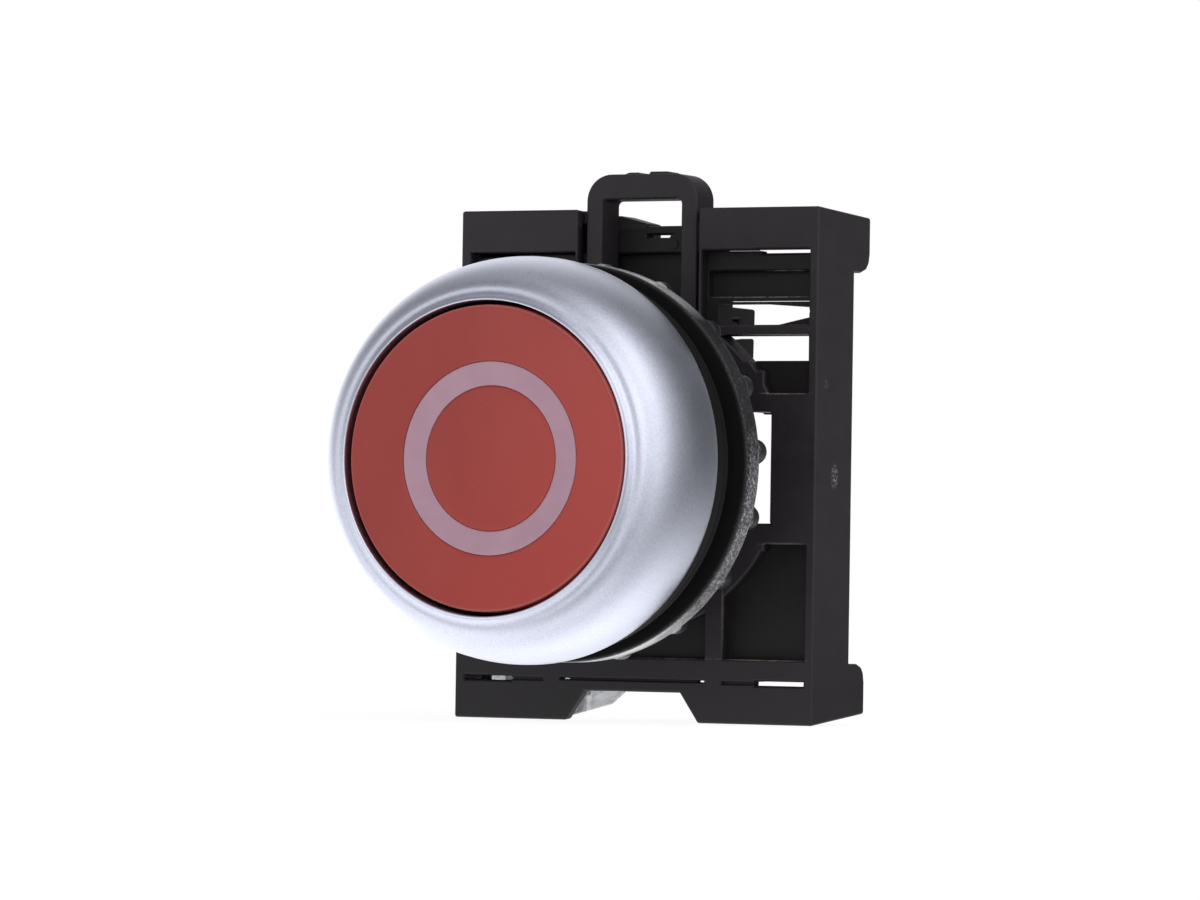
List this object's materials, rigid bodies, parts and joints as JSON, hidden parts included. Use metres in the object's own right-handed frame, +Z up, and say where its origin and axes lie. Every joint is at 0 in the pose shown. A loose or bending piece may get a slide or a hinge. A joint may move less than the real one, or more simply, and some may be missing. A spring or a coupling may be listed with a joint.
{
  "type": "flush panel push button",
  "caption": "Flush red push button with ring symbol in a silver ring, with panel nut, clip-on fixing adapter and a normally closed contact block.",
  "frame": {"origin": "on the button's axis, in the plane of the panel's front face, which is the rear face of the seal", "axes": "+Y along the button's axis from the button towards the wiring side, so the button faces -Y; +X to the right seen from the front; +Z up, towards the adapter's locking lever"},
  "size_m": [0.03, 0.0542, 0.0415],
  "materials": {
    "silver_ring": "satin metallic, fine speckle",
    "black_body": "matt moulded",
    "seal_rubber": "matt",
    "red_cap": "satin",
    "pale_symbol": "satin",
    "spring_steel": "drawn wire",
    "nut_grey": "coarse speckled",
    "adapter_black": "matt moulded",
    "block_dark": "matt moulded",
    "clear_plastic": "clear moulded plastic",
    "red_plunger": "satin",
    "brass": "stamped strip",
    "silver_tips": "dull silver",
    "zinc_steel": "zinc plated"
  },
  "bodies": {
    "base": {"bezel_ring": "silver_ring", "actuator_body": "black_body", "panel_gasket": "seal_rubber", "diaphragm_seal": "seal_rubber", "return_spring": "spring_steel", "adapter_frame": "adapter_black", "contact_housing": "block_dark", "contact_side_cover": "block_dark", "clear_terminal_cover": "clear_plastic", "contact_spring": "spring_steel", "upper_fixed_contact": "brass", "lower_fixed_contact": "brass", "fixed_contact_tips": "silver_tips"},
    "button": {"button_cap": "red_cap", "symbol_ring": "pale_symbol", "button_carrier": "black_body", "pusher_bar": "black_body"},
    "nut": {"ring_nut": "nut_grey"},
    "lever": {"locking_lever": "adapter_black"},
    "contact_slider": {"contact_plunger": "red_plunger", "contact_bridge": "brass", "bridge_contact_tips": "silver_tips"},
    "upper_plate": {"upper_clamp_plate": "zinc_steel"},
    "upper_screw": {"upper_terminal_screw": "zinc_steel"},
    "lower_plate": {"lower_clamp_plate": "zinc_steel"},
    "lower_screw": {"lower_terminal_screw": "zinc_steel"}
  },
  "joints": [
    {"name": "button_press", "type": "slide", "parent": "base", "child": "button", "axis": [0, 1, 0], "range_m": [0, 0.005], "stiffness_N_per_m": 600, "springref_m": -0.003, "deforming": ["return_spring", "diaphragm_seal"]},
    {"name": "contact_slide", "type": "slide", "parent": "base", "child": "contact_slider", "axis": [0, 1, 0], "range_m": [0, 0.005], "stiffness_N_per_m": 200, "springref_m": -0.002, "deforming": ["contact_spring"]},
    {"name": "nut_turn", "type": "hinge", "parent": "base", "child": "nut", "pos_m": [0, 0.0033, 0], "axis": [0, 1, 0], "continuous": true},
    {"name": "lever_lift", "type": "slide", "parent": "base", "child": "lever", "axis": [0, 0, 1], "range_m": [0, 0.003]},
    {"name": "upper_screw_advance", "type": "slide", "parent": "base", "child": "upper_plate", "axis": [0, 1, 0], "range_m": [-0.0015, 0]},
    {"name": "upper_screw_turn", "type": "hinge", "parent": "upper_plate", "child": "upper_screw", "pos_m": [-0.01015, 0.034, 0.011], "axis": [0, 1, 0], "range_deg": [-1087.2, 0]},
    {"name": "lower_screw_advance", "type": "slide", "parent": "base", "child": "lower_plate", "axis": [0, 1, 0], "range_m": [-0.0015, 0]},
    {"name": "lower_screw_turn", "type": "hinge", "parent": "lower_plate", "child": "lower_screw", "pos_m": [-0.01015, 0.034, -0.011], "axis": [0, 1, 0], "range_deg": [-1087.2, 0]}
  ],
  "couplings": [
    {"joint": "contact_slide", "follows": "button_press", "ratio": 1},
    {"joint": "upper_screw_turn", "follows": "upper_screw_advance", "rad_per_m": 12566},
    {"joint": "lower_screw_turn", "follows": "lower_screw_advance", "rad_per_m": 12566}
  ]
}
